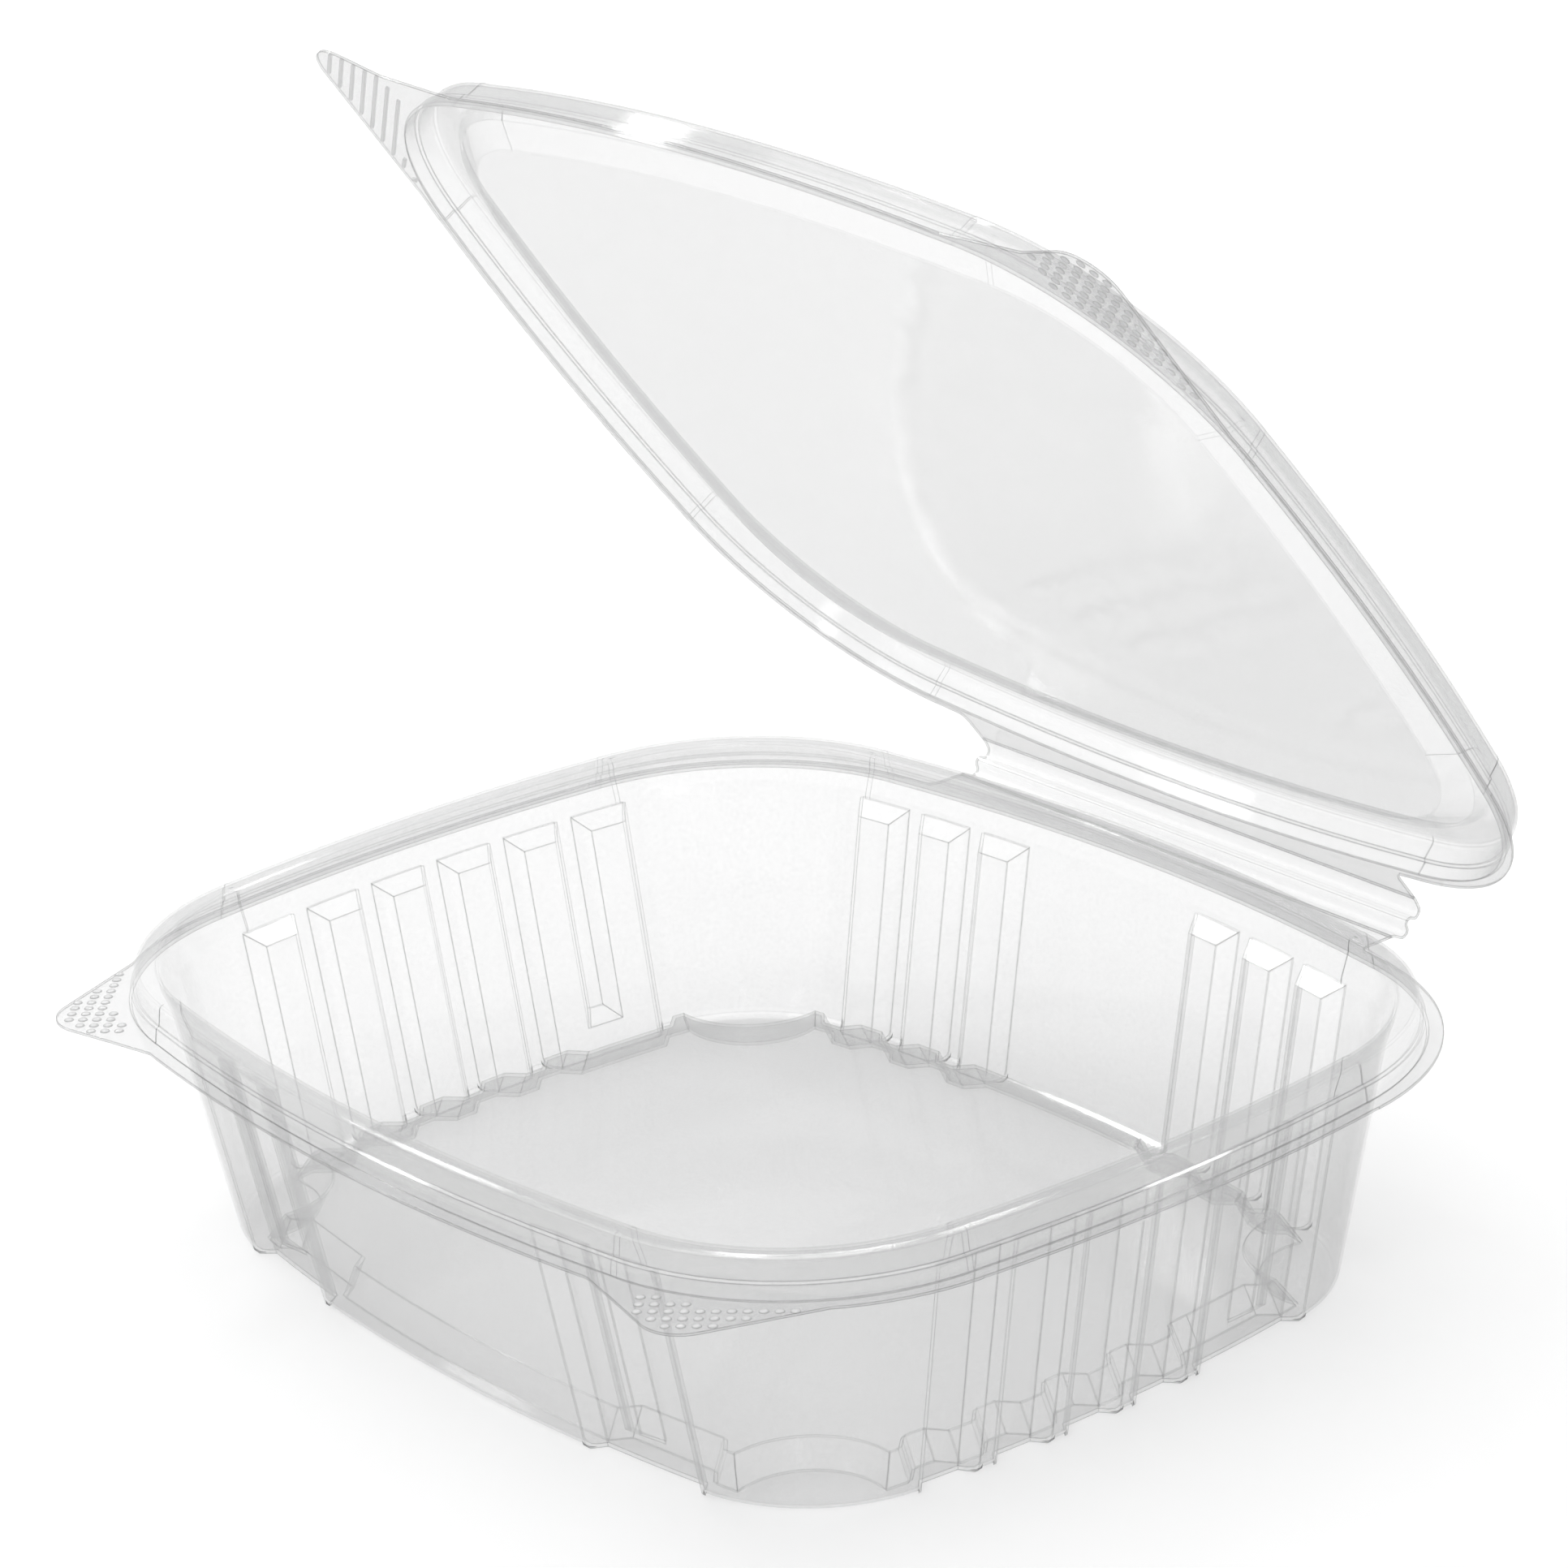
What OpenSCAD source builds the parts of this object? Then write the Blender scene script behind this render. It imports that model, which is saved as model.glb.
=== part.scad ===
// Hinged deli container: tray, lid and hinge strip formed from one clear sheet.
// X runs along the hinge, +Y points to the hinge, the feet stand on Z = 0.

/* [Sheet] */
// Thickness of the formed sheet
sheet = 0.4; // [0.3:0.05:0.6]
// Clear space between the closed lid and the tray
fit_gap = 0.3; // [0.2:0.05:0.5]

/* [Outline] */
// Width across the flange, along the hinge
flange_x = 184; // [176:1:200]
// Depth across the flange, from the front to the hinge
flange_y = 156; // [150:1:172]
// Radius of the bowed left and right sides
side_radius = 314; // [280:1:400]
// Radius of the bowed front and hinge sides
end_radius = 343; // [300:1:420]
// Radius of the corners at the flange edge
corner_radius = 41.5; // [38:0.5:46]

/* [Rim] */
// Height of the flange's upper face above the feet
flange_z = 38.8; // [34:0.2:50]
// Height of the rim bead above the flange
bead_rise = 5.8; // [5:0.1:7]
// Width of the flat flange outside the bead
flange_w = 2.2; // [1.8:0.1:3]
// Distance of the tray's mouth from the flange edge
mouth_in = 7; // [6.6:0.1:8]
// Height of the small step on the outside of the bead
bead_step = 2.2; // [1.5:0.1:3]
// Radius of the bead's two upper edges
bead_round = 1; // [0.6:0.1:1.3]
// Height of the upright band inside the mouth
mouth_band = 2.4; // [1.5:0.1:3.5]

/* [Wall] */
// Distance of the foot edge from the flange edge
foot_in = 15.5; // [14:0.1:17]
// Radius where the wall turns into the foot
foot_round = 1.6; // [1:0.1:2.5]

/* [Flutes] */
// Depth to which a flute is pushed into the tray
flute_depth = 2.6; // [1.5:0.1:3]
// Width of a flute's inner face
flute_face = 6; // [4:0.1:6.5]
// Slope of a flute's flanks, run for each unit of depth
flute_slope = 0.75; // [0.5:0.05:0.8]
// Distance between neighbouring flutes
flute_pitch = 12.6; // [11.8:0.1:13]
// Height at which the flutes start below the flange
flute_top_drop = 1.2; // [1:0.1:4]
// Distance of the first front and hinge flute from the middle
end_flute_start = 23.5; // [20:0.5:24]
// Height at which a short rib ends above the feet
short_rib_z = 7; // [5:0.5:12]

/* [Floor] */
// Height of the raised floor panel's underside
panel_rise = 4.2; // [3:0.1:5.5]
// Width of the standing ring from the foot edge to the panel
ring_w = 3.8; // [3.4:0.1:5]
// Run of the panel's sloped edge
panel_slope_run = 2.2; // [1.5:0.1:3]
// Distance by which the panel edge steps in beside a flute
panel_jog = 2; // [1:0.1:2.5]
// Radius of the round corner feet
corner_foot_r = 14; // [11:0.5:17]

/* [Lid] */
// Distance of the lid's flat panel from the flange edge
lid_panel_in = 13.5; // [12:0.5:16]
// Height of the lid's flat panel above its flange
lid_panel_rise = 2; // [1:0.1:3.5]
// Angle to which the lid stands open
lid_open = 53.5; // [0:0.5:120]

/* [Hinge] */
// Half the length of the hinge strip
hinge_half = 48.5; // [40:0.5:52]
// Distance of the hinge strip's edges behind the flange edge
apron = 3; // [2:0.1:5]
// Distance of the pivot line behind the apron edge
pivot_out = 6.5; // [5:0.1:8]
// Distance of the pivot line below the flange
pivot_drop = 2.3; // [1.5:0.1:3.5]
// Radius of the notches beside the hinge strip
notch_r = 2.5; // [1.5:0.1:4]
// Depth of the two pleats in the hinge strip
pleat = 2.2; // [1.4:0.1:2.4]

/* [Tabs] */
// Distance of the tray tab's tip from the middle, along the hinge
tray_tab_x = 69.5; // [66:0.5:73]
// Reach of the tray tab's tip in front of the middle
tray_tab_y = 77.7; // [76:0.1:80]
// Radius of the tray tab's tip
tray_tab_r = 6.5; // [4.5:0.5:8]
// Distance of the lid tab's outer edge from the middle, along the hinge
lid_tab_x = 87.5; // [85:0.5:92]
// Reach of the lid tab's tip in front of the middle
lid_tab_y = 77.5; // [75:0.5:80]
// Radius of the lid tab's tip
lid_tab_r = 6.5; // [4.5:0.5:8]
// Distance from the middle where the tabs' front edges leave the flange
tab_from = 50; // [46:0.5:52]
// Angle on the corner where the tray tab's side edge meets the flange
tray_tab_turn = 30; // [20:1:40]
// Distance from the middle where the lid tab's side edge meets the flange
lid_tab_to = 34; // [28:0.5:35]

/* [Hidden] */
$fn = 200;
clear_plastic = [0.88, 0.9, 0.91, 0.6];

half_x = flange_x / 2;
half_y = flange_y / 2;
lip_z = flange_z + bead_rise;
lid_flange_z = flange_z + fit_gap;
lid_top_z = lip_z + fit_gap;
pivot_y = half_y + apron + pivot_out;
pivot_z = flange_z - pivot_drop;
// the wall's outer face leans out by this much for each unit of height
wall_top_in = mouth_in + 1;
wall_lean = (foot_in - wall_top_in) / flange_z;
wall_angle = atan(wall_lean);
// longer than anything that is cut with it
far = 300;
// distance in from the flange edge where the swept floor and lid panel end
fill_in = 30;
// overlap of the floor's and the lid panel's middle with the swept sheet
fill_lap = 5;
// overlap of a tab or the hinge edge with the flange
edge_lap = 0.8;
// place of the lid tab's waist from its tip
lid_tab_dip = [10.5, 3.6];
// a corner runs on over its neighbours by this angle and stands out by this much, so that they join
corner_lap_angle = 1;
corner_lap = 0.05;

// centres of the right side's arc, the hinge side's arc and the corner between them
side_centre = [half_x - side_radius, 0];
end_centre = [0, half_y - end_radius];
side_run = side_radius - corner_radius;
end_run = end_radius - corner_radius;
corner_centre = circles_meet(side_centre, side_run, end_centre, end_run);
corner_from = angle_of(corner_centre - side_centre);
corner_to = angle_of(corner_centre - end_centre);

function angle_of(v) = atan2(v.y, v.x);
function unit(v) = v / norm(v);
function turned(v) = [-v.y, v.x];
function polar(r, a) = r * [cos(a), sin(a)];
function arc(c, r, from, to, steps = 10) =
    [for (i = [0 : steps]) c + polar(r, from + (to - from) * i / steps)];

// the point, up and right of both centres, where two circles meet
function circles_meet(p, rp, q, rq) =
    let (d = norm(q - p), along = unit(q - p), t = (rp * rp - rq * rq + d * d) / (2 * d))
    p + t * along + sqrt(rp * rp - t * t) * turned(along);

// arc that rounds the corner b between a and c
function corner_arc(a, b, c, r, steps = 3) =
    let (u = unit(a - b), v = unit(c - b), half = acos(u * v) / 2)
    let (centre = b + unit(u + v) * r / sin(half), start = angle_of(b + u * r / tan(half) - centre))
    let (turn = (180 - 2 * half) * sign(u.x * v.y - u.y * v.x))
    [for (i = [0 : steps]) centre + polar(r, start - turn * i / steps)];

// path of [x, y, radius] points with its corners rounded
function rounded(path) = [
    for (i = [0 : len(path) - 1])
        let (p = path[i], a = path[i - 1], c = path[i + 1])
        each p[2] == 0 ? [[p.x, p.y]] : corner_arc([a.x, a.y], [p.x, p.y], [c.x, c.y], p[2])
];

// path moved to its left by t
function moved(path, t) = [
    for (i = [0 : len(path) - 1])
        let (before = i > 0 ? turned(unit(path[i] - path[i - 1])) : undef)
        let (after = i < len(path) - 1 ? turned(unit(path[i + 1] - path[i])) : undef)
        let (n = is_undef(before) ? after : before, m = is_undef(after) ? before : after)
        path[i] + t * (n + m) / (1 + n * m)
];

// closed outline of a sheet that lies on one side of a path
function sheet_along(path, t) = concat(path, [for (i = [len(path) - 1 : -1 : 0]) moved(path, t)[i]]);

// one section, given as [distance in from the flange edge, height], swept round the whole outline
module swept(section) {
    for (turn = [0, 180]) rotate(turn) {
        arc_sweep(side_centre, side_radius, -corner_from, corner_from, section);
        corner_sweep(section);
        arc_sweep(end_centre, end_radius, corner_to, 180 - corner_to, section);
        mirror([1, 0, 0]) corner_sweep(section);
    }
}

module corner_sweep(section) {
    from = corner_from - corner_lap_angle;
    to = corner_to + corner_lap_angle;
    arc_sweep(corner_centre, corner_radius + corner_lap, from, to, section);
}

module arc_sweep(centre, radius, from, to, section) {
    translate(centre) rotate(from) rotate_extrude(angle = to - from)
        polygon([for (p = section) [radius - p.x, p.y]]);
}

module each_corner() {
    for (mx = [0, 1], my = [0, 1]) mirror([mx, 0, 0]) mirror([0, my, 0]) children();
}

module both_sides() {
    for (mx = [0, 1]) mirror([mx, 0, 0]) children();
}

// points round the outline, a distance in from the flange edge, starting on the right side
function outline(inset) =
    let (corner = corner_points(inset, corner_from, corner_to))
    let (quarter = concat([side_point(inset, 0)], corner, [end_point(inset, 0)]))
    let (half = concat(quarter, [for (i = [len(quarter) - 2 : -1 : 0]) [-quarter[i].x, quarter[i].y]]))
    concat(half, [for (i = [len(half) - 2 : -1 : 1]) [half[i].x, -half[i].y]]);

function corner_points(inset, from, to) = arc(corner_centre, corner_radius - inset, from, to);
function side_point(inset, y) = let (r = side_radius - inset) [side_centre.x + sqrt(r * r - y * y), y];
function end_point(inset, x) = let (r = end_radius - inset) [x, end_centre.y + sqrt(r * r - x * x)];
function mirrored_y(points) = [for (p = points) [p.x, -p.y]];

// block between two heights whose four sides follow the bows, with sloped edges
module bowed_block(z0, inset0, z1, inset1) {
    intersection_for(turn = [0, 180]) rotate(turn) intersection() {
        h = z1 - z0;
        translate([side_centre.x, 0, z0]) cylinder(h, side_radius - inset0, side_radius - inset1);
        translate([0, end_centre.y, z0]) cylinder(h, end_radius - inset0, end_radius - inset1);
    }
}

// upper face of the tray's sheet, from the flange over the bead and down the wall to the ring
tray_path = rounded([
    [0, flange_z, 0],
    [flange_w, flange_z, 0],
    [flange_w + 0.3, flange_z + bead_step, 0],
    [flange_w + 0.8, flange_z + bead_step + 0.3, 0],
    [flange_w + 1.2, lip_z, bead_round],
    [mouth_in, lip_z, bead_round],
    [mouth_in + 0.15, lip_z - mouth_band, 0],
    [wall_top_in + sheet, flange_z - 0.2, 0],
    [foot_in + sheet, sheet, foot_round],
    [fill_in, sheet, 0],
]);

// lower face of the lid's sheet, from the flange over the bead and down to the flat panel
lid_path = rounded([
    [0, lid_flange_z, 0],
    [flange_w - 0.5, lid_flange_z, 0],
    [flange_w - 0.2, lid_flange_z + bead_step, 0],
    [flange_w + 0.3, lid_flange_z + bead_step + 0.3, 0],
    [flange_w + 0.8, lid_top_z, bead_round],
    [mouth_in + 0.5, lid_top_z, bead_round],
    [mouth_in + 2, lid_top_z - 1.8, 0],
    [lid_panel_in, lid_flange_z + lid_panel_rise, 0],
    [fill_in, lid_flange_z + lid_panel_rise, 0],
]);

// flute as a solid that is pushed in from outside; grow moves all its faces into the tray
module flute(face, top_z, grow) {
    depth = flute_depth + grow;
    half_face = face / 2 + grow * (sqrt(1 + flute_slope * flute_slope) - flute_slope);
    outside = 3;
    below = 4;
    top = top_z / cos(wall_angle);
    rotate([0, wall_angle, 0]) intersection() {
        translate([0, 0, -below]) linear_extrude(top + 2 * below) polygon([
            [-depth, -half_face],
            [outside, -half_face - (depth + outside) * flute_slope],
            [outside, half_face + (depth + outside) * flute_slope],
            [-depth, half_face],
        ]);
        rotate([90, 0, 0]) linear_extrude(2 * far, center = true) polygon([
            [-depth, -below],
            [outside, -below],
            [outside, top + outside],
            [-depth, top - depth + grow * sqrt(2)],
        ]);
    }
}

// places its children on the foot edge of a side, a distance along it, with X pointing out
module on_side(along) {
    r = side_radius - foot_in;
    translate(side_centre) rotate(asin(along / r)) translate([r, 0, 0]) children();
}

module on_end(along) {
    r = end_radius - foot_in;
    translate(end_centre) rotate(90 - asin(along / r)) translate([r, 0, 0]) children();
}

// every flute of the tray: six on each side, two by each front corner, three by each hinge corner
module all_flutes(grow) {
    top = flange_z - flute_top_drop;
    both_sides() {
        for (k = [-2.5 : 1 : 2.5]) on_side(k * flute_pitch) flute(flute_face, top, grow);
        on_side(2 * flute_pitch) flute(flute_face + flute_pitch, short_rib_z, grow);
        for (k = [0 : 2]) on_end(end_flute_start + k * flute_pitch) flute(flute_face, top, grow);
        mirror([0, 1, 0]) {
            for (k = [1, 2]) on_end(end_flute_start + k * flute_pitch) flute(flute_face, top, grow);
            on_end(end_flute_start + 1.5 * flute_pitch) flute(flute_face + flute_pitch, short_rib_z, grow);
        }
    }
}

// place beside one flute where the floor panel's edge steps in
module jog(face, grow) {
    half_face = face / 2 + flute_depth * flute_slope - grow;
    reach = ring_w + panel_jog - grow;
    lean = atan(panel_slope_run / panel_rise);
    rotate([0, -lean, 0]) translate([0, 0, -panel_rise]) linear_extrude(4 * panel_rise) polygon([
        [-reach, -half_face],
        [ring_w, -half_face - ring_w - reach],
        [ring_w, half_face + ring_w + reach],
        [-reach, half_face],
    ]);
}

module all_jogs(grow) {
    both_sides() {
        for (k = [-2.5 : 1 : 1.5]) on_side(k * flute_pitch) jog(0, grow);
        on_side(2 * flute_pitch) jog(flute_pitch, grow);
        for (k = [0 : 2]) on_end(end_flute_start + k * flute_pitch) jog(0, grow);
        mirror([0, 1, 0]) on_end(end_flute_start + 1.5 * flute_pitch) jog(flute_pitch, grow);
    }
}

// raised middle of the floor, cut back round the corner feet and beside the flutes
module floor_panel(z0, grow) {
    slope = panel_slope_run / panel_rise;
    inset = foot_in + ring_w - grow;
    foot_at = corner_centre + polar(corner_radius - foot_in, (corner_from + corner_to) / 2);
    difference() {
        bowed_block(z0, inset + z0 * slope, panel_rise + grow, inset + (panel_rise + grow) * slope);
        r = corner_foot_r - grow;
        each_corner() translate([foot_at.x, foot_at.y, -panel_rise])
            cylinder(h = 3 * panel_rise, r1 = r - 2 * panel_slope_run, r2 = r + panel_slope_run);
        all_jogs(grow);
    }
}

// solid space inside the wall's outer face, near the wall only
module wall_space() {
    swept([
        [foot_in + 0.6, 0],
        [foot_in, 0.6],
        [foot_in - flange_z * wall_lean, flange_z],
        [foot_in + ring_w, flange_z],
        [foot_in + ring_w, 0],
    ]);
}

// flat plate from the flange to the straight edge of the hinge strip, with a round notch at each end
module hinge_apron() {
    foot = end_point(0, hinge_half + notch_r);
    inner = [for (k = [0 : 0.25 : 1]) end_point(edge_lap, k * (hinge_half + notch_r))];
    notch = arc(foot + [0, notch_r - edge_lap / 2], notch_r, 270, 180);
    edge = concat(inner, notch, [[hinge_half, half_y + apron]]);
    polygon(concat(edge, [for (i = [len(edge) - 1 : -1 : 1]) [-edge[i].x, edge[i].y]]));
}

// finger tab at the front right corner: the flange carried on to a rounded tip
module tab(tip, tip_r, dip, from_x, end, inner) {
    a = touch_angle(dip, tip, tip_r, 1);
    b = touch_angle(end, tip, tip_r, -1);
    start = end_point(edge_lap, from_x);
    polygon(concat([[start.x, -start.y], dip], arc(tip, tip_r, a, b < a ? b + 360 : b), [end], inner));
}

// angle at which a line from p touches the circle about c, on one side or the other
function touch_angle(p, c, r, side) = angle_of(p - c) + side * acos(r / norm(p - c));

// the strip's edges on the tray and on the opened lid, as [y, z] in the middle of the sheet
strip_from = [half_y + apron, flange_z - sheet / 2];
strip_to = swung([half_y + apron, lid_flange_z + sheet / 2]);
strip_lead = 0.6;

function swung(p) =
    let (d = p - [pivot_y, pivot_z], c = cos(lid_open), s = sin(lid_open))
    [pivot_y + c * d.x + s * d.y, pivot_z - s * d.x + c * d.y];

// middle line of the strip: two pleats that stand out from the line between its edges
function strip_path() =
    let (a = strip_from + [strip_lead, 0], b = strip_to + strip_lead * [cos(lid_open), -sin(lid_open)])
    let (out = -turned(unit(b - a)) * pleat)
    let (on = function (u, v) a + u * (b - a) + v * out)
    let (shape = [[0.1, 0.9], [0.32, 1], [0.42, 0.35], [0.58, 0.35], [0.68, 1], [0.9, 0.9]])
    concat([strip_from, a], [for (p = shape) on(p.x, p.y)], [b, strip_to]);
strip_outline = sheet_along(moved(strip_path(), -sheet / 2), sheet);

// middle of the container's depth as it stands open, which comes to lie on Y = 0
rest_mid_y = (max([for (p = strip_outline) p.x]) - max(half_y, tray_tab_y)) / 2;

module placed() {
    translate([0, -rest_mid_y, 0]) children();
}

module tray_tab() {
    tip = [tray_tab_x, tray_tab_r - tray_tab_y];
    inner = mirrored_y(corner_points(edge_lap, tray_tab_turn, corner_to - 1));
    front = mirrored_y([end_point(edge_lap, tab_from)])[0];
    tab(tip, tray_tab_r, (front + tip - [0, tray_tab_r]) / 2, tab_from, inner[0], inner);
}

module lid_tab() {
    tip = [lid_tab_x - lid_tab_r, lid_tab_r - lid_tab_y];
    end = mirrored_y([side_point(edge_lap, lid_tab_to)])[0];
    inner = mirrored_y(corner_points(edge_lap, corner_from + 1, corner_to - 1));
    tab(tip, lid_tab_r, tip - lid_tab_dip, tab_from, end, inner);
}

// both finger tabs and the edge for the hinge strip, as plates on the flange
module rim_plates() {
    linear_extrude(sheet) hinge_apron();
    both_sides() linear_extrude(sheet) children();
}

module tray() {
    color(clear_plastic) placed() difference() {
        union() {
            swept(sheet_along(tray_path, -sheet));
            linear_extrude(sheet) polygon(outline(fill_in - fill_lap));
            floor_panel(0, sheet);
            intersection() {
                wall_space();
                all_flutes(sheet);
            }
            translate([0, 0, flange_z - sheet]) rim_plates() tray_tab();
        }
        all_flutes(0);
        floor_panel(-panel_rise, 0);
    }
}

module closed_lid() {
    swept(sheet_along(lid_path, sheet));
    translate([0, 0, lid_flange_z + lid_panel_rise])
        linear_extrude(sheet) polygon(outline(fill_in - fill_lap));
    translate([0, 0, lid_flange_z]) rim_plates() lid_tab();
}

// turns the closed lid, or a point beside it, to the angle at which it stands open
module opened() {
    pivot = [0, pivot_y, pivot_z];
    translate(pivot) rotate([-lid_open, 0, 0]) translate(-pivot) children();
}

module lid() {
    color(clear_plastic) placed() opened() closed_lid();
}

module hinge_strip() {
    color(clear_plastic) placed() translate([-hinge_half, 0, 0]) rotate([90, 0, 90])
        linear_extrude(2 * hinge_half) polygon(strip_outline);
}

tray();
lid();
hinge_strip();
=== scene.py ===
import math
import bmesh
import bpy
from mathutils import Matrix, Vector


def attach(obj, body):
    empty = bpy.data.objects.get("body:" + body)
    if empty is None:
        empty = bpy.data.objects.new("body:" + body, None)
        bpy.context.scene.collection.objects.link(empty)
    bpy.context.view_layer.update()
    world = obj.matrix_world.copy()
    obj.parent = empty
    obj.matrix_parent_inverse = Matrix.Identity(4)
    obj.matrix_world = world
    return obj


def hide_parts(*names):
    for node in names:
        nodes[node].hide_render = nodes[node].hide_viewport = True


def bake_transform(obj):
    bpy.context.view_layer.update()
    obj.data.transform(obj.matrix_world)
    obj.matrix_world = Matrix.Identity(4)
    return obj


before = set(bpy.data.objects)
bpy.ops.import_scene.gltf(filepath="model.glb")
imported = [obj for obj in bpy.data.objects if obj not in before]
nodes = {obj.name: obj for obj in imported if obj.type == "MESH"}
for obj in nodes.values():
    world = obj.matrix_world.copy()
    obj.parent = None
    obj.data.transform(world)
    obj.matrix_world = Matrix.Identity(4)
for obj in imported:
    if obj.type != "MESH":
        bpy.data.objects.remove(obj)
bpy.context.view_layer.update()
scene = bpy.context.scene
print("stage: frame loaded", sorted(nodes))

# sizes repeated from the part's source, in metres, in the frame of the standing container
build = {
    "midShift": 0.00467883,    # the tray's middle lies this far in front of Y = 0
    "flangeTop": 0.0388,       # tray flange, upper face
    "lidUnder": 0.0391,        # closed lid's flange, lower face
    "sheet": 0.0004,
    "halfY": 0.078,
    "apron": 0.003,
    "pivotY": 0.0875,
    "pivotZ": 0.0365,
    "lidOpen": 53.5,
    "hingeHalf": 0.0485,
    "cornerX": 0.048547,
    "cornerY": 0.032566,
    "cornerR": 0.0415,
}


def inFrame(x, y, z):
    return Vector((x, y - build["midShift"], z))


lidPivot = inFrame(0, build["pivotY"], build["pivotZ"])
lidSwing = Matrix.Rotation(-math.radians(build["lidOpen"]), 4, "X")
lidTurn = Matrix.Translation(lidPivot) @ lidSwing @ Matrix.Translation(-lidPivot)    # from closed to open


# camera as fitted to the photograph
view = {
    "place": (0.60708, -0.48234, 0.37678),
    "azimuth": 51.474,
    "elevation": 21.447,
    "roll": -3.159,
    "lens": 131.59,
    "sensor": 36.0,
    "nearest": 0.01,
}


def setCamera():
    az = math.radians(view["azimuth"])
    el = math.radians(view["elevation"])
    towards = Vector((-math.sin(az) * math.cos(el), math.cos(az) * math.cos(el), -math.sin(el)))
    data = bpy.data.cameras.new("photoCamera")
    data.lens = view["lens"]
    data.sensor_fit = "HORIZONTAL"
    data.sensor_width = view["sensor"]
    data.clip_start = view["nearest"]
    camera = bpy.data.objects.new("photoCamera", data)
    aim = towards.to_track_quat("-Z", "Y").to_matrix().to_4x4()
    tilt = Matrix.Rotation(math.radians(view["roll"]), 4, "Z")
    camera.matrix_world = Matrix.Translation(view["place"]) @ aim @ tilt
    scene.collection.objects.link(camera)
    scene.camera = camera


setCamera()
print("stage: camera set")


# a socket with the operators that the materials use
class Wire:
    def __init__(self, tree, socket=None):
        self.tree = tree
        self.socket = socket

    def node(self, kind, settings=None, inputs=None, out=0):
        made = self.tree.nodes.new(kind)
        for name, value in (settings or {}).items():
            setattr(made, name, value)
        for name, value in (inputs or {}).items():
            if isinstance(value, Wire):
                self.tree.links.new(value.socket, made.inputs[name])
            else:
                made.inputs[name].default_value = value
        return Wire(self.tree, made.outputs[out] if made.outputs else None)

    def maths(self, operation, first, second=0.0):
        return self.node("ShaderNodeMath", {"operation": operation}, {0: first, 1: second})

    def __add__(self, other):
        return self.maths("ADD", self, other)

    def __radd__(self, other):
        return self.maths("ADD", other, self)

    def __sub__(self, other):
        return self.maths("SUBTRACT", self, other)

    def __rsub__(self, other):
        return self.maths("SUBTRACT", other, self)

    def __mul__(self, other):
        return self.maths("MULTIPLY", self, other)

    def __rmul__(self, other):
        return self.maths("MULTIPLY", other, self)

    def __pow__(self, other):
        return self.maths("POWER", self, other)

    def clamped(self):
        return self.maths("MAXIMUM", self.maths("MINIMUM", self, 1.0), 0.0)


def newMaterial(name):
    made = bpy.data.materials.new(name)
    made.use_nodes = True
    made.node_tree.nodes.clear()
    return made, Wire(made.node_tree)


def finishMaterial(wire, shader):
    wire.node("ShaderNodeOutputMaterial", {}, {"Surface": shader})


# clear formed sheet: see-through face on, greyer where it is seen edge on, with painted shade along its
# bends and cut edges that stands in for the dark lines refraction draws there
clearLook = {
    # painted shade: the near-black colour laid along bends and cut edges
    "paintedBendShade": (0.07, 0.071, 0.073, 1.0),
    "bendReach": 0.00036,
    "bendGain": 4.5,
    "bendPower": 2.0,
    "bendMost": 0.85,
    "bendSamples": 3,
    "grain": 0.06,
    "grainScale": 1500.0,
    "grainDetail": 2.0,
    "cloud": 0.03,
    "flowDetail": 3.0,
    "flowStrength": 0.25,
    "roughness": 0.08,
    "glossFace": 0.045,
    "glossEdge": 0.15,
    "glossPower": 5.0,
}


sheetShades = ((0.38, 0.383, 0.386, 1.0), (0.54, 0.543, 0.546, 1.0))
# painted highlight: the grips get a pale body that stands in for the glints on their dots and ribs
gripPaintedHighlight = ((0.8, 0.8, 0.8, 1.0), (0.95, 0.95, 0.95, 1.0))
sheetLooks = {
    "traySheet": {"faceOn": 0.1, "edgeOn": 0.27, "edgePower": 2.0, "flowScale": 40.0, "flowDepth": 0.0006,
                  "bendShare": 1.0, "shades": sheetShades},
    "lidSheet": {"faceOn": 0.142, "edgeOn": 0.8, "edgePower": 4.4, "flowScale": 28.0, "flowDepth": 0.0012,
                 "bendShare": 1.4, "shades": sheetShades},
    "hingeSheet": {"faceOn": 0.1, "edgeOn": 0.5, "edgePower": 3.6, "flowScale": 60.0, "flowDepth": 0.0004,
                   "bendShare": 1.0, "shades": sheetShades},
    # painted highlight: a high opacity here lets the pale grip colour show strongly
    "gripSheet": {"faceOn": 0.45, "edgeOn": 0.7, "edgePower": 2.0, "flowScale": 200.0, "flowDepth": 0.0002,
                  "bendShare": 0.35, "shades": gripPaintedHighlight},
}


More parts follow.
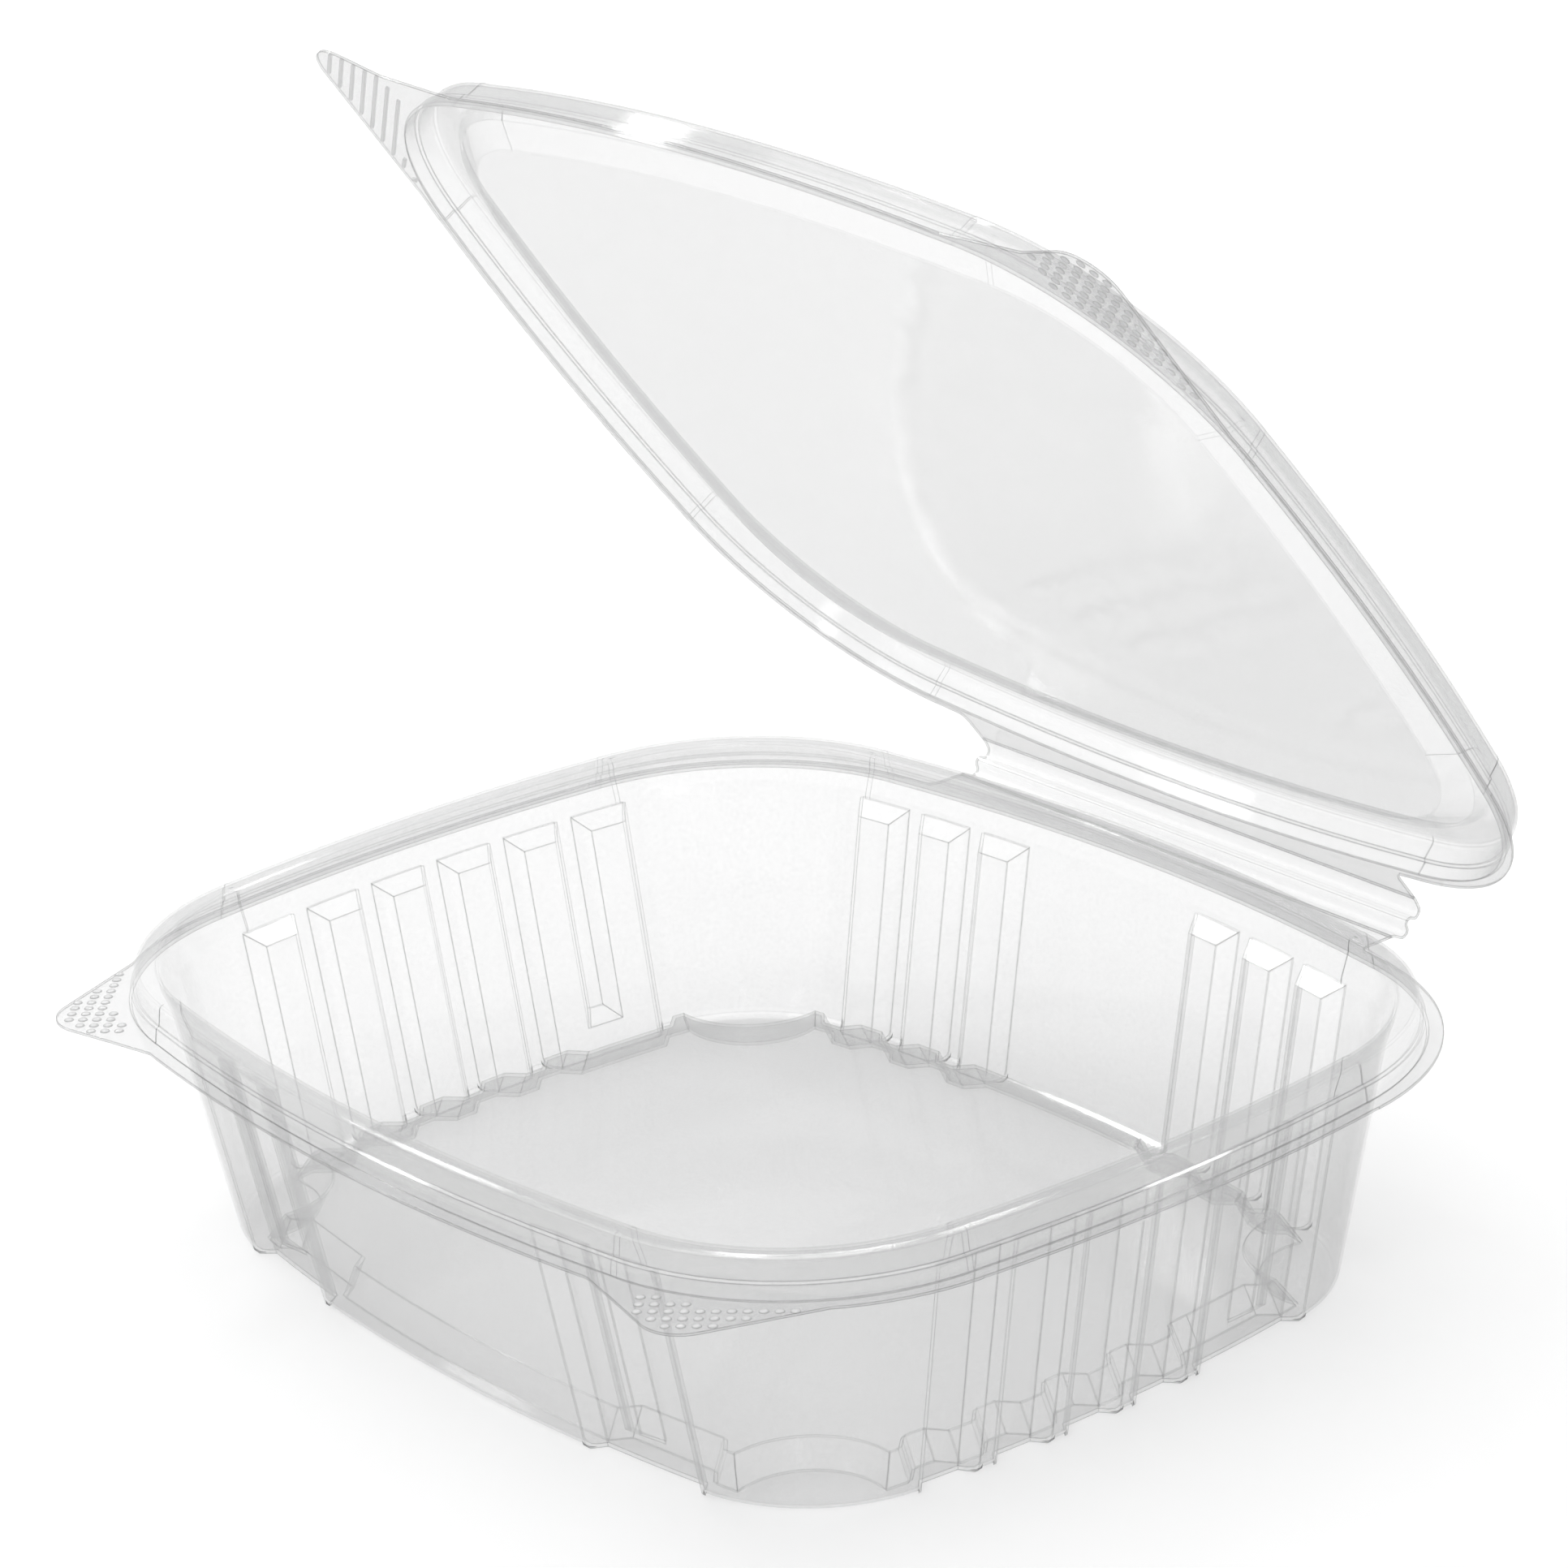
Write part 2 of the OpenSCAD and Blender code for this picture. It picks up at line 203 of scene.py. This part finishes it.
def clearSheet(name):
    made, wire = newMaterial(name)
    look = sheetLooks[name]
    place = wire.node("ShaderNodeTexCoord", {}, {}, "Object")
    facing = wire.node("ShaderNodeLayerWeight", {}, {"Blend": 0.5}, "Facing")
    grain = wire.node("ShaderNodeTexNoise", {}, {
        "Vector": place,
        "Scale": clearLook["grainScale"],
        "Detail": clearLook["grainDetail"],
    })
    drift = wire.node("ShaderNodeTexNoise", {}, {
        "Vector": place,
        "Scale": look["flowScale"],
        "Detail": clearLook["flowDetail"],
    })
    surface = wire.node("ShaderNodeNewGeometry", {}, {}, "Normal")
    rounded = wire.node("ShaderNodeBevel", {"samples": clearLook["bendSamples"]},
                        {"Radius": clearLook["bendReach"]})
    same = wire.node("ShaderNodeVectorMath", {"operation": "DOT_PRODUCT"},
                     {0: surface, 1: rounded}, "Value")
    sharp = (clearLook["bendGain"] * (1.0 - same)).clamped()
    bends = look["bendShare"] * sharp ** clearLook["bendPower"]
    alpha = look["faceOn"] + (look["edgeOn"] - look["faceOn"]) * facing ** look["edgePower"]
    speckle = clearLook["grain"] * (grain - 0.5) + clearLook["cloud"] * (drift - 0.5)
    # painted shade: bends and cut edges are made more opaque, so they read as dark lines
    alpha = (alpha + clearLook["bendMost"] * bends + speckle).clamped()
    shade = wire.node("ShaderNodeMix", {"data_type": "RGBA"},
                      {0: drift, 6: look["shades"][0], 7: look["shades"][1]}, 2)
    # painted shade: the colour turns dark along bends and cut edges
    shade = wire.node("ShaderNodeMix", {"data_type": "RGBA"},
                      {0: bends, 6: shade, 7: clearLook["paintedBendShade"]}, 2)
    waves = wire.node("ShaderNodeBump", {}, {
        "Strength": clearLook["flowStrength"],
        "Distance": look["flowDepth"],
        "Height": drift,
        "Normal": rounded,
    })
    body = wire.node("ShaderNodeBsdfPrincipled", {}, {
        "Base Color": shade,
        "Roughness": clearLook["roughness"],
        "Alpha": alpha,
        "Normal": waves,
    })
    gloss = wire.node("ShaderNodeBsdfPrincipled", {}, {
        "Base Color": (1.0, 1.0, 1.0, 1.0),
        "Metallic": 1.0,
        "Roughness": clearLook["roughness"],
        "Normal": waves,
    })
    shine = clearLook["glossFace"] + clearLook["glossEdge"] * facing ** clearLook["glossPower"]
    finishMaterial(wire, wire.node("ShaderNodeMixShader", {}, {0: shine.clamped(), 1: body, 2: gloss}))
    return made


traySheet = clearSheet("traySheet")
lidSheet = clearSheet("lidSheet")
hingeSheet = clearSheet("hingeSheet")
gripSheet = clearSheet("gripSheet")
sheetOf = {"tray": traySheet, "lid": lidSheet, "hinge_strip": hingeSheet}
for nodeName, sheetMaterial in sheetOf.items():
    nodes[nodeName].data.materials.clear()
    nodes[nodeName].data.materials.append(sheetMaterial)
print("stage: sheet materials made")


# operators act on what is selected, so each piece starts from nothing selected
def freshStart():
    if bpy.context.mode != "OBJECT":
        bpy.ops.object.mode_set(mode="OBJECT")
    bpy.ops.object.select_all(action="DESELECT")


def pickVerts(piece, wanted):
    mesh = bmesh.from_edit_mesh(piece.data)
    for vert in mesh.verts:
        vert.select = wanted(vert.co)
    mesh.select_flush_mode()
    bmesh.update_edit_mesh(piece.data)


def applyModifiers(piece):
    for modifier in list(piece.modifiers):
        bpy.ops.object.modifier_apply(modifier=modifier.name)


# pleated strip between tray and lid, extruded along its section from the tray's edge to the lid's
hinge = {
    "lead": 0.0006,
    "pleat": 0.0022,
    "shape": ((0.1, 0.9), (0.32, 1.0), (0.42, 0.35), (0.58, 0.35), (0.68, 1.0), (0.9, 0.9)),
    "round": 0.0005,
    "roundSteps": 3,
    "foldAngle": 15.0,      # folds sharper than this are rounded
    "smoothAngle": 40.0,
}


def hingeLine():
    start = inFrame(0, build["halfY"] + build["apron"], build["flangeTop"] - build["sheet"] / 2)
    closedEnd = inFrame(0, build["halfY"] + build["apron"], build["lidUnder"] + build["sheet"] / 2)
    end = lidTurn @ closedEnd
    intoLid = lidTurn.to_3x3() @ Vector((0, 1, 0))
    first = start + Vector((0, hinge["lead"], 0))
    last = end + hinge["lead"] * intoLid
    along = last - first
    outward = Vector((0, along.z, -along.y)).normalized() * hinge["pleat"]
    bends = [first + u * along + v * outward for u, v in hinge["shape"]]
    return [start, first] + bends + [last, end]


def makeHinge():
    freshStart()
    line = hingeLine()
    width = 2 * build["hingeHalf"]
    middle = (line[0] + line[1]) / 2
    bpy.ops.mesh.primitive_plane_add(size=width, location=middle)
    strip = bpy.context.object
    strip.name = "pleatedHinge"
    bpy.ops.object.transform_apply(location=True, rotation=True, scale=True)
    bpy.ops.object.mode_set(mode="EDIT")
    bpy.ops.mesh.select_all(action="SELECT")
    bpy.ops.transform.resize(value=(1, hinge["lead"] / width, 1), center_override=middle)
    pickVerts(strip, lambda co: co.y > middle.y)
    for here, there in zip(line[1:], line[2:]):
        bpy.ops.mesh.extrude_region_move(TRANSFORM_OT_translate={"value": there - here})
    bpy.ops.mesh.select_all(action="SELECT")
    bpy.ops.mesh.normals_make_consistent(inside=False)
    bpy.ops.object.mode_set(mode="OBJECT")
    bend = strip.modifiers.new("bend", "BEVEL")
    bend.width = hinge["round"]
    bend.segments = hinge["roundSteps"]
    bend.limit_method = "ANGLE"
    bend.angle_limit = math.radians(hinge["foldAngle"])
    wall = strip.modifiers.new("wall", "SOLIDIFY")
    wall.thickness = build["sheet"]
    wall.offset = 0
    applyModifiers(strip)
    bpy.ops.object.shade_smooth_by_angle(angle=math.radians(hinge["smoothAngle"]))
    strip.data.materials.append(hingeSheet)
    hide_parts("hinge_strip")
    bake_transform(strip)


makeHinge()
print("stage: hinge strip made")


# finger tabs, in millimetres from the tray's middle, right hand side; left is its mirror image
trayTab = {"tip": (69.5, -71.2), "tipR": 6.5, "dip": (59.75, -75.66), "end": (84.49, -53.32)}
lidTab = {"tip": (81.0, -71.0), "tipR": 6.5, "dip": (70.5, -74.6), "end": (89.35, -34.0)}
grip = {
    "pitch": 2.1,
    "margin": 0.9,
    "overlap": 1.0,     # how far the grips reach in over the flange
    "dotR": 0.75,
    "dotRise": 0.22,
    "dotSink": 0.08,    # its closed base lies inside the sheet
    "ribWidth": 0.55,
    "ribRise": 0.28,
    "ribStep": 0.4,
    "ribRound": 0.2,
    "arcSteps": 12,
    "reach": 24,            # rows and columns tried on each side of the tip
    "ribReach": 12,
    "ribSteps": 120,
    "dotSides": 10,
    "dotRings": 6,
    "smoothAngle": 50.0,
}


def touchAngle(point, centre, radius, side):
    away = Vector(point) - Vector(centre)
    return math.atan2(away.y, away.x) + side * math.acos(radius / away.length)


def tabOutline(tab):
    start = touchAngle(tab["dip"], tab["tip"], tab["tipR"], 1)
    stop = touchAngle(tab["end"], tab["tip"], tab["tipR"], -1)
    stop += 2 * math.pi if stop < start else 0
    tip = Vector(tab["tip"])
    steps = grip["arcSteps"]
    turns = [start + (stop - start) * k / steps for k in range(steps + 1)]
    points = [Vector(tab["dip"])]
    points += [tip + tab["tipR"] * Vector((math.cos(a), math.sin(a))) for a in turns]
    points.append(Vector(tab["end"]))
    corner = 1000 * Vector((build["cornerX"], -build["cornerY"]))
    reach = 1000 * build["cornerR"] - grip["overlap"]
    first = points[-1] - corner
    last = points[0] - corner
    start = math.atan2(first.y, first.x)
    stop = math.atan2(last.y, last.x)
    for k in range(1, steps):
        a = start + (stop - start) * k / steps
        points.append(corner + reach * Vector((math.cos(a), math.sin(a))))
    return points


def edgeDistance(point, a, b):
    along = b - a
    share = max(0.0, min(1.0, (point - a).dot(along) / along.length_squared))
    return (point - a - share * along).length


def wellInside(point, outline, margin):
    inside = False
    for a, b in zip(outline, outline[1:] + outline[:1]):
        if edgeDistance(point, a, b) < margin:
            return False
        if (a.y > point.y) != (b.y > point.y):
            if point.x < a.x + (b.x - a.x) * (point.y - a.y) / (b.y - a.y):
                inside = not inside
    return inside


def gridPlaces(tab):
    outline = tabOutline(tab)
    step = grip["pitch"] / math.sqrt(2)
    tip = Vector(tab["tip"])
    places = []
    rows = range(-grip["reach"], grip["reach"] + 1)
    for i in rows:
        for j in rows:
            point = tip + step * Vector((i + j, i - j))
            if wellInside(point, outline, grip["margin"]):
                places.append(point)
    return places


def ribRuns(tab):
    outline = tabOutline(tab)
    along = Vector((1, 1)).normalized()
    across = Vector((1, -1)).normalized()
    tip = Vector(tab["tip"])
    runs = []
    shares = [grip["ribStep"] * k for k in range(-grip["ribSteps"], grip["ribSteps"] + 1)]
    for i in range(-grip["ribReach"], grip["ribReach"] + 1):
        base = tip + i * grip["pitch"] * across
        hits = [t for t in shares if wellInside(base + t * along, outline, grip["margin"])]
        if hits:
            runs.append((base + hits[0] * along, base + hits[-1] * along))
    return runs


def joinCopies(name, source, moves, material):
    copies = []
    for move in moves:
        copy = source.copy()
        copy.data = source.data.copy()
        copy.data.transform(move)
        scene.collection.objects.link(copy)
        copies.append(copy)
    bpy.data.objects.remove(source)
    freshStart()
    for copy in copies:
        copy.select_set(True)
    bpy.context.view_layer.objects.active = copies[0]
    bpy.ops.object.join()
    joined = bpy.context.object
    joined.name = name
    joined.data.materials.clear()
    joined.data.materials.append(material)
    return joined


def makeDot():
    freshStart()
    bpy.ops.mesh.primitive_uv_sphere_add(
        segments=grip["dotSides"], ring_count=grip["dotRings"], radius=grip["dotR"] / 1000)
    dot = bpy.context.object
    bpy.ops.object.mode_set(mode="EDIT")
    bpy.ops.mesh.select_all(action="SELECT")
    bpy.ops.mesh.bisect(plane_co=(0, 0, 0), plane_no=(0, 0, 1), use_fill=True, clear_inner=True)
    bpy.ops.mesh.select_all(action="SELECT")
    height = grip["dotRise"] + grip["dotSink"]
    bpy.ops.transform.resize(value=(1, 1, height / grip["dotR"]), center_override=(0, 0, 0))
    bpy.ops.transform.translate(value=(0, 0, -grip["dotSink"] / 1000))
    bpy.ops.object.mode_set(mode="OBJECT")
    bpy.ops.object.shade_smooth_by_angle(angle=math.radians(grip["smoothAngle"]))
    return dot


def makeRib():
    freshStart()
    bpy.ops.mesh.primitive_cube_add(size=0.001)
    rib = bpy.context.object
    bpy.ops.object.mode_set(mode="EDIT")
    bpy.ops.mesh.select_all(action="SELECT")
    section = (1, grip["ribWidth"], 2 * grip["ribRise"])    # its length is set where it is placed
    bpy.ops.transform.resize(value=section, center_override=(0, 0, 0))
    pickVerts(rib, lambda co: co.z > 0)
    bpy.ops.mesh.bevel(offset=grip["ribRound"] / 1000, segments=2, affect="EDGES")
    bpy.ops.object.mode_set(mode="OBJECT")
    bpy.ops.object.shade_smooth_by_angle(angle=math.radians(grip["smoothAngle"]))
    return rib


def atTab(point, side, height):
    return inFrame(side * point.x / 1000, point.y / 1000, height)


lidTop = build["lidUnder"] + build["sheet"]
for side, hand in ((-1, "left"), (1, "right")):
    moves = [Matrix.Translation(atTab(p, side, build["flangeTop"])) for p in gridPlaces(trayTab)]
    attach(joinCopies(hand + "TrayTabDots", makeDot(), moves, gripSheet), "tray")

moves = [lidTurn @ Matrix.Translation(atTab(p, 1, lidTop)) for p in gridPlaces(lidTab)]
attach(joinCopies("rightLidTabDots", makeDot(), moves, gripSheet), "lid")

moves = []
for first, last in ribRuns(lidTab):
    a = atTab(first, -1, lidTop)
    b = atTab(last, -1, lidTop)
    length = max(1.0, 1000 * (b - a).length)
    turn = Matrix.Rotation(math.atan2(b.y - a.y, b.x - a.x), 4, "Z")
    moves.append(lidTurn @ Matrix.Translation((a + b) / 2) @ turn @ Matrix.Diagonal((length, 1, 1, 1)))
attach(joinCopies("leftLidTabRibs", makeRib(), moves, gripSheet), "lid")
print("stage: finger tab grips made")


# stage: pale floor, white surroundings and soft lamps
stageLook = {
    "floorSize": 8.0,
    "floorShade": (0.97, 0.97, 0.97, 1.0),
    "floorWhite": (0.11, 0.11, 0.11, 1.0),    # added for the camera and reflections only
    "ambient": 0.42,
    "floorDrop": 0.0002,
    "floorRoughness": 0.9,
    "clearLayers": 48,         # sheets that a ray may pass
}


# 1 for what the camera, a reflection or a clear piece sees, 0 for what lights the object
def seenDirectly(wire):
    seen = wire.node("ShaderNodeLightPath", {}, {}, "Is Camera Ray")
    seen = seen + wire.node("ShaderNodeLightPath", {}, {}, "Is Glossy Ray")
    return (seen + wire.node("ShaderNodeLightPath", {}, {}, "Is Transmission Ray")).clamped()


def makeStage():
    freshStart()
    bpy.ops.mesh.primitive_plane_add(size=stageLook["floorSize"], location=(0, 0, -stageLook["floorDrop"]))
    floor = bpy.context.object
    floor.name = "paleFloor"
    made, wire = newMaterial("paleFloor")
    lift = wire.node("ShaderNodeMix", {"data_type": "RGBA"},
                     {0: seenDirectly(wire), 6: (0.0, 0.0, 0.0, 1.0), 7: stageLook["floorWhite"]}, 2)
    finishMaterial(wire, wire.node("ShaderNodeBsdfPrincipled", {}, {
        "Base Color": stageLook["floorShade"],
        "Roughness": stageLook["floorRoughness"],
        "Specular IOR Level": 0.0,
        "Emission Color": lift,
        "Emission Strength": 1.0,
    }))
    floor.data.materials.append(made)

    world = bpy.data.worlds.new("paleRoom")
    world.use_nodes = True
    world.node_tree.nodes.clear()
    wire = Wire(world.node_tree)
    strength = stageLook["ambient"] + (1.0 - stageLook["ambient"]) * seenDirectly(wire)
    glow = wire.node("ShaderNodeBackground", {}, {"Color": (1.0, 1.0, 1.0, 1.0), "Strength": strength})
    wire.node("ShaderNodeOutputWorld", {}, {"Surface": glow})
    scene.world = world


lamps = (
    {"name": "backStrip", "place": (-0.1, 0.75, 1.05), "size": (0.9, 0.08), "watts": 2.4},
    {"name": "leftStrip", "place": (-0.95, -0.05, 0.9), "size": (0.8, 0.08), "watts": 2.4},
    {"name": "middleStrip", "place": (-0.52, 0.42, 1.05), "size": (0.5, 0.05), "watts": 1.0},
    {"name": "rightStrip", "place": (0.75, -0.75, 1.1), "size": (0.6, 0.08), "watts": 1.4},
)
daylight = {"strength": 1.02, "spread": 70.0, "turn": (8.0, -12.0, 0.0)}


def makeLamps():
    for lamp in lamps:
        data = bpy.data.lights.new(lamp["name"], "AREA")
        data.shape = "RECTANGLE"
        data.size, data.size_y = lamp["size"]
        data.energy = lamp["watts"]
        made = bpy.data.objects.new(lamp["name"], data)
        made.location = lamp["place"]
        made.rotation_euler = (-Vector(lamp["place"])).to_track_quat("-Z", "Y").to_euler()
        scene.collection.objects.link(made)


def makeDaylight():
    data = bpy.data.lights.new("softDaylight", "SUN")
    data.energy = daylight["strength"]
    data.angle = math.radians(daylight["spread"])
    made = bpy.data.objects.new("softDaylight", data)
    made.rotation_euler = [math.radians(a) for a in daylight["turn"]]
    scene.collection.objects.link(made)


makeStage()
makeLamps()
makeDaylight()
scene.view_settings.view_transform = "Standard"
scene.cycles.transparent_max_bounces = stageLook["clearLayers"]
print("stage: floor, surroundings and lamps set")
